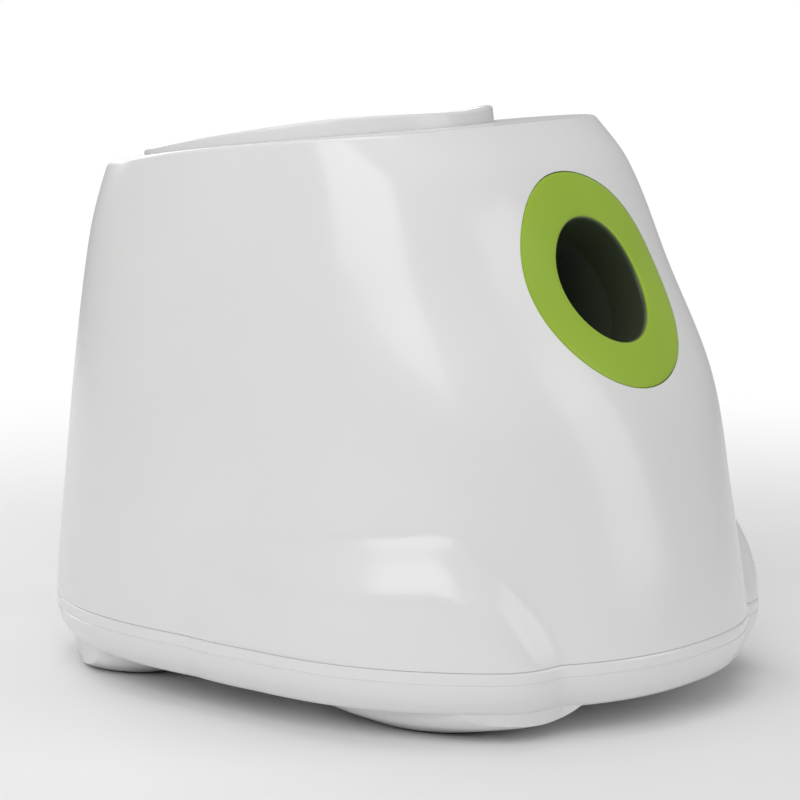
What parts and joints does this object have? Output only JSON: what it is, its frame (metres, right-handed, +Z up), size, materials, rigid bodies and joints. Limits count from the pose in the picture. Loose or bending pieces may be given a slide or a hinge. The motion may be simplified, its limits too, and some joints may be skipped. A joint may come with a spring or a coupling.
{
  "type": "automatic dog ball launcher",
  "caption": "Automatic dog ball launcher: white boot-shaped body with a green launch ring, top funnel, ball gate and paired launch wheels.",
  "frame": {"origin": "on the floor under the middle of the body, between the four rubber feet", "axes": "+Z up; the launch hole faces -Y and the control panel faces +Y; +X is the launcher's left side"},
  "size_m": [0.318, 0.392, 0.3141],
  "materials": {
    "white_shell": "glossy moulded white ABS",
    "green_trim": "satin moulded lime green ABS",
    "grey_duct": "dark grey moulded ABS",
    "black_hub": "black moulded nylon",
    "tyre_rubber": "soft black rubber",
    "foot_rubber": "grey rubber",
    "motor_steel": "zinc plated drawn steel",
    "shaft_steel": "ground steel",
    "screw_steel": "zinc plated steel",
    "brass": "tinned brass",
    "gear_plastic": "natural acetal",
    "clear_lens": "clear acrylic",
    "board_green": "green solder mask on glass fibre",
    "heat_sink": "extruded aluminium"
  },
  "bodies": {
    "housing": {"ball_funnel": "white_shell", "ball_sensors": "black_hub", "base_tray": "white_shell", "battery_contacts": "shaft_steel", "board_capacitors": "heat_sink", "board_connectors": "black_hub", "board_screws": "screw_steel", "buzzer": "black_hub", "control_board": "board_green", "control_panel": "black_hub", "distance_lenses": "clear_lens", "duct_screws": "screw_steel", "front_stand": "grey_duct", "funnel_screws": "screw_steel", "gate_motor": "motor_steel", "housing_screws": "screw_steel", "indicator_leds": "clear_lens", "left_launch_duct": "grey_duct", "left_motor_can": "motor_steel", "main_board": "board_green", "motor_driver": "heat_sink", "motor_end_caps": "black_hub", "motor_screws": "screw_steel", "motor_terminals": "brass", "nozzle_ring": "green_trim", "panel_switches": "black_hub", "power_socket": "black_hub", "radio_module": "board_green", "rear_stand": "grey_duct", "right_launch_duct": "grey_duct", "right_motor_can": "motor_steel", "rubber_feet": "foot_rubber", "socket_pin": "brass", "stand_screws": "screw_steel", "upper_housing": "white_shell"},
    "left_launch_wheel": {"left_wheel_hub": "black_hub", "left_wheel_tyre": "tyre_rubber", "left_motor_shaft": "shaft_steel"},
    "right_launch_wheel": {"right_wheel_hub": "black_hub", "right_wheel_tyre": "tyre_rubber", "right_motor_shaft": "shaft_steel"},
    "ball_gate": {"gate_flap": "grey_duct", "gate_shaft": "shaft_steel", "gate_gear": "gear_plastic"},
    "gate_drive": {"gate_pinion": "gear_plastic", "gate_motor_shaft": "shaft_steel"},
    "power_button": {"power_button": "green_trim"},
    "distance_button": {"distance_button": "green_trim"},
    "battery_door": {"battery_door": "white_shell"}
  },
  "joints": [
    {"name": "left_wheel_spin", "type": "hinge", "parent": "housing", "child": "left_launch_wheel", "pos_m": [0.071, -0.02592, 0.17302], "axis": [0, 0.4431, 0.8965], "continuous": true},
    {"name": "right_wheel_spin", "type": "hinge", "parent": "housing", "child": "right_launch_wheel", "pos_m": [-0.071, -0.02592, 0.17302], "axis": [0, 0.4431, 0.8965], "continuous": true},
    {"name": "gate_swing", "type": "hinge", "parent": "housing", "child": "ball_gate", "pos_m": [0, 0.12216, 0.201], "axis": [1, 0, 0], "range_deg": [0, 78]},
    {"name": "gate_motor_spin", "type": "hinge", "parent": "housing", "child": "gate_drive", "pos_m": [0, 0.14294, 0.213], "axis": [1, 0, 0], "range_deg": [-240, 240]},
    {"name": "power_button_press", "type": "slide", "parent": "housing", "child": "power_button", "axis": [0, -0.9942, -0.108], "range_m": [0, 0.0012], "stiffness_N_per_m": 300},
    {"name": "distance_button_press", "type": "slide", "parent": "housing", "child": "distance_button", "axis": [0, -0.9942, -0.108], "range_m": [0, 0.0012], "stiffness_N_per_m": 300},
    {"name": "battery_door_slide", "type": "slide", "parent": "housing", "child": "battery_door", "axis": [0, 1, 0], "range_m": [0, 0.012]}
  ],
  "couplings": [
    {"joint": "right_wheel_spin", "follows": "left_wheel_spin", "ratio": -1},
    {"joint": "gate_motor_spin", "follows": "gate_swing", "ratio": -3}
  ]
}
